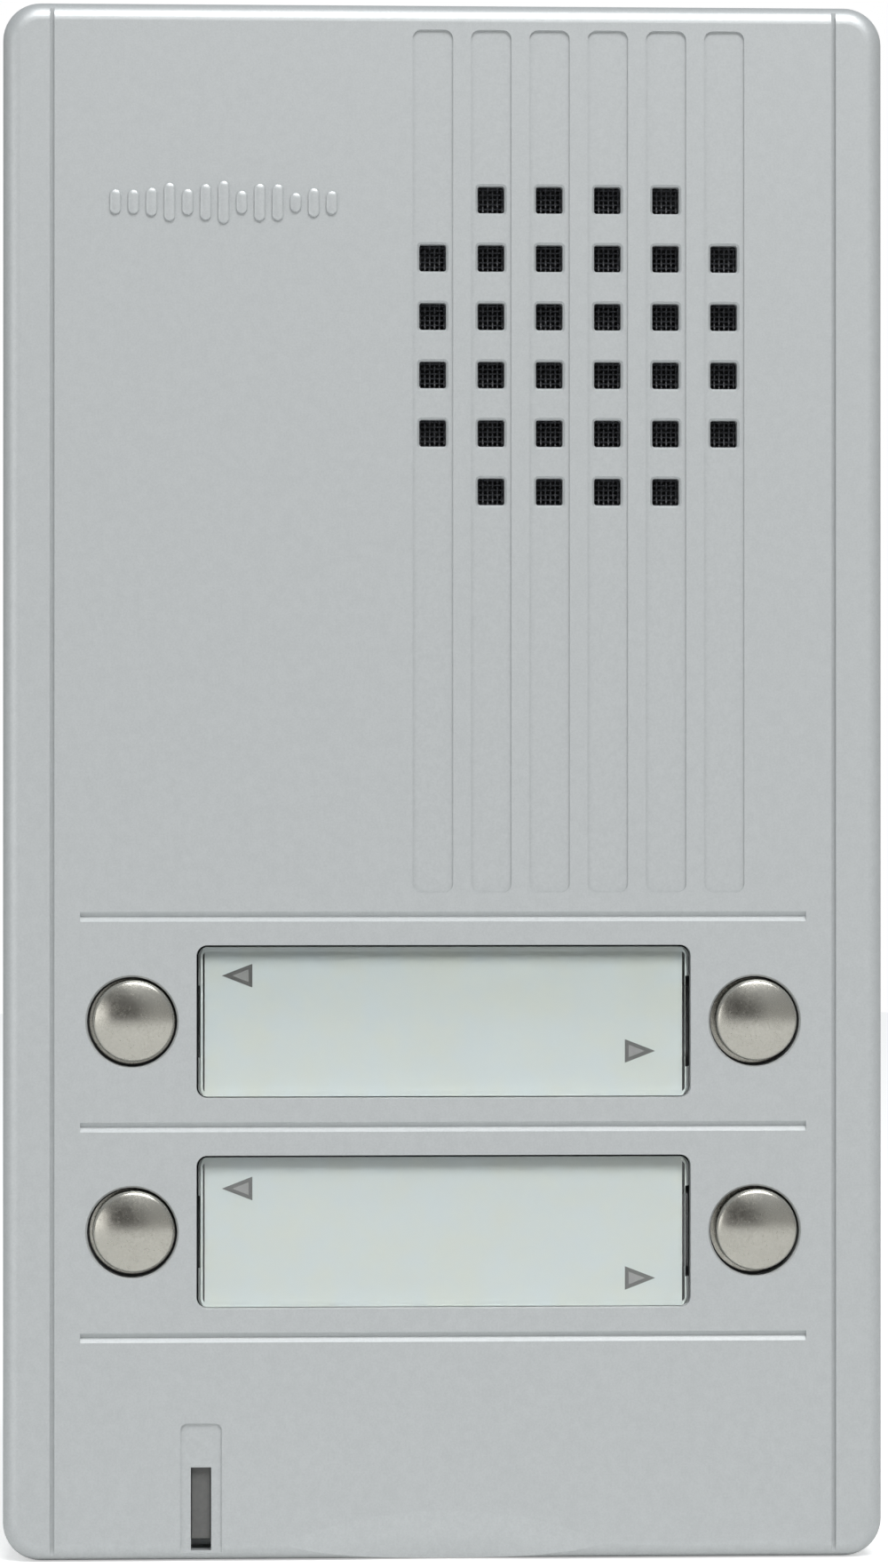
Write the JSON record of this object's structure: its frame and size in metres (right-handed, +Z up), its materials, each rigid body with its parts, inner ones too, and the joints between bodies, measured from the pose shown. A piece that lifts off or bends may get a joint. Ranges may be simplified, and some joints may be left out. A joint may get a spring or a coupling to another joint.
{
  "type": "door intercom panel",
  "caption": "Surface-mounted door intercom panel with a loudspeaker grille, lit name windows, round call buttons and a microphone slot.",
  "frame": {"origin": "middle of the wall plane, on the back face of the mounting bracket", "axes": "+Z up, +X to the right of a person facing the panel, -Y out of the front"},
  "size_m": [0.098, 0.0322, 0.173],
  "materials": {
    "painted_casting": "fine matte metallic grey paint on cast zinc",
    "black_mesh": "black woven mesh",
    "foam": "closed-cell foam",
    "black_rubber": "moulded rubber",
    "grey_rubber": "moulded silicone rubber",
    "satin_steel": "satin stainless steel",
    "zinc_steel": "zinc-plated steel",
    "spring_steel": "drawn wire",
    "magnet_ferrite": "sintered ferrite",
    "paper_cone": "pressed paper",
    "copper_coil": "enamelled copper",
    "clear_lens": "clear polycarbonate",
    "white_card": "plain paper card",
    "opal_plastic": "translucent acrylic",
    "black_plastic": "moulded ABS",
    "green_plastic": "moulded terminal plastic",
    "circuit_board": "solder mask over glass fibre",
    "brown_board": "paper laminate",
    "white_plastic": "moulded nylon",
    "blue_plastic": "moulded case",
    "lamp_plastic": "diode package",
    "lead_red": "PVC insulation",
    "lead_white": "PVC insulation",
    "galvanised_steel": "galvanised sheet"
  },
  "bodies": {
    "call_button_upper_left": {"button_cap_upper_left": "satin_steel", "button_stem_upper_left": "black_plastic"},
    "switch_plunger_upper_left": {"switch_plunger_upper_left": "white_plastic"},
    "call_button_upper_right": {"button_cap_upper_right": "satin_steel", "button_stem_upper_right": "black_plastic"},
    "switch_plunger_upper_right": {"switch_plunger_upper_right": "white_plastic"},
    "call_button_lower_left": {"button_cap_lower_left": "satin_steel", "button_stem_lower_left": "black_plastic"},
    "switch_plunger_lower_left": {"switch_plunger_lower_left": "white_plastic"},
    "call_button_lower_right": {"button_cap_lower_right": "satin_steel", "button_stem_lower_right": "black_plastic"},
    "switch_plunger_lower_right": {"switch_plunger_lower_right": "white_plastic"},
    "name_window_upper": {"window_lens_upper": "clear_lens"},
    "name_window_lower": {"window_lens_lower": "clear_lens"},
    "speaker_diaphragm": {"speaker_cone": "paper_cone", "speaker_dust_cap": "paper_cone", "voice_coil": "copper_coil"},
    "housing": {"front_cover": "painted_casting", "speaker_mesh": "black_mesh", "speaker_gasket": "foam", "speaker_frame": "zinc_steel", "speaker_top_plate": "zinc_steel", "speaker_magnet": "magnet_ferrite", "speaker_yoke": "zinc_steel", "speaker_surround": "black_rubber", "speaker_terminals": "brown_board", "speaker_clamps": "zinc_steel", "speaker_screws": "zinc_steel", "button_seals": "black_rubber", "backlight_leds": "lamp_plastic", "inner_chassis": "black_plastic", "chassis_screws": "zinc_steel", "main_board": "circuit_board", "board_screws": "zinc_steel", "terminal_block": "green_plastic", "terminal_screws": "zinc_steel", "lock_relay": "black_plastic", "capacitors": "black_plastic", "circuit_chips": "black_plastic", "volume_trimmers": "blue_plastic", "lead_sockets": "white_plastic", "microphone_boot": "grey_rubber", "microphone": "zinc_steel", "speaker_leads": "lead_red", "microphone_leads": "lead_white", "rear_gasket": "foam", "mounting_bracket": "galvanised_steel", "cover_screw": "satin_steel", "button_spring_upper_left": "spring_steel", "switch_body_upper_left": "black_plastic", "button_spring_upper_right": "spring_steel", "switch_body_upper_right": "black_plastic", "button_spring_lower_left": "spring_steel", "switch_body_lower_left": "black_plastic", "button_spring_lower_right": "spring_steel", "switch_body_lower_right": "black_plastic", "name_card_upper": "white_card", "light_guide_upper": "opal_plastic", "name_card_lower": "white_card", "light_guide_lower": "opal_plastic"}
  },
  "joints": [
    {"name": "press_upper_left", "type": "slide", "parent": "housing", "child": "call_button_upper_left", "axis": [0, 1, 0], "range_m": [0, 0.001], "stiffness_N_per_m": 1200, "springref_m": -0.0006, "deforming": ["button_spring_upper_left"]},
    {"name": "click_upper_left", "type": "slide", "parent": "housing", "child": "switch_plunger_upper_left", "axis": [0, 1, 0], "range_m": [0, 0.00025]},
    {"name": "press_upper_right", "type": "slide", "parent": "housing", "child": "call_button_upper_right", "axis": [0, 1, 0], "range_m": [0, 0.001], "stiffness_N_per_m": 1200, "springref_m": -0.0006, "deforming": ["button_spring_upper_right"]},
    {"name": "click_upper_right", "type": "slide", "parent": "housing", "child": "switch_plunger_upper_right", "axis": [0, 1, 0], "range_m": [0, 0.00025]},
    {"name": "press_lower_left", "type": "slide", "parent": "housing", "child": "call_button_lower_left", "axis": [0, 1, 0], "range_m": [0, 0.001], "stiffness_N_per_m": 1200, "springref_m": -0.0006, "deforming": ["button_spring_lower_left"]},
    {"name": "click_lower_left", "type": "slide", "parent": "housing", "child": "switch_plunger_lower_left", "axis": [0, 1, 0], "range_m": [0, 0.00025]},
    {"name": "press_lower_right", "type": "slide", "parent": "housing", "child": "call_button_lower_right", "axis": [0, 1, 0], "range_m": [0, 0.001], "stiffness_N_per_m": 1200, "springref_m": -0.0006, "deforming": ["button_spring_lower_right"]},
    {"name": "click_lower_right", "type": "slide", "parent": "housing", "child": "switch_plunger_lower_right", "axis": [0, 1, 0], "range_m": [0, 0.00025]},
    {"name": "pry_off_upper", "type": "slide", "parent": "housing", "child": "name_window_upper", "axis": [0, -1, 0], "range_m": [0, 0.008]},
    {"name": "pry_off_lower", "type": "slide", "parent": "housing", "child": "name_window_lower", "axis": [0, -1, 0], "range_m": [0, 0.008]},
    {"name": "cone_stroke", "type": "slide", "parent": "housing", "child": "speaker_diaphragm", "axis": [0, -1, 0], "range_m": [-0.0004, 0.0004], "stiffness_N_per_m": 1500, "deforming": ["speaker_surround"]}
  ],
  "couplings": [
    {"joint": "click_upper_left", "follows": "press_upper_left", "ratio": 0.25},
    {"joint": "click_upper_right", "follows": "press_upper_right", "ratio": 0.25},
    {"joint": "click_lower_left", "follows": "press_lower_left", "ratio": 0.25},
    {"joint": "click_lower_right", "follows": "press_lower_right", "ratio": 0.25}
  ]
}
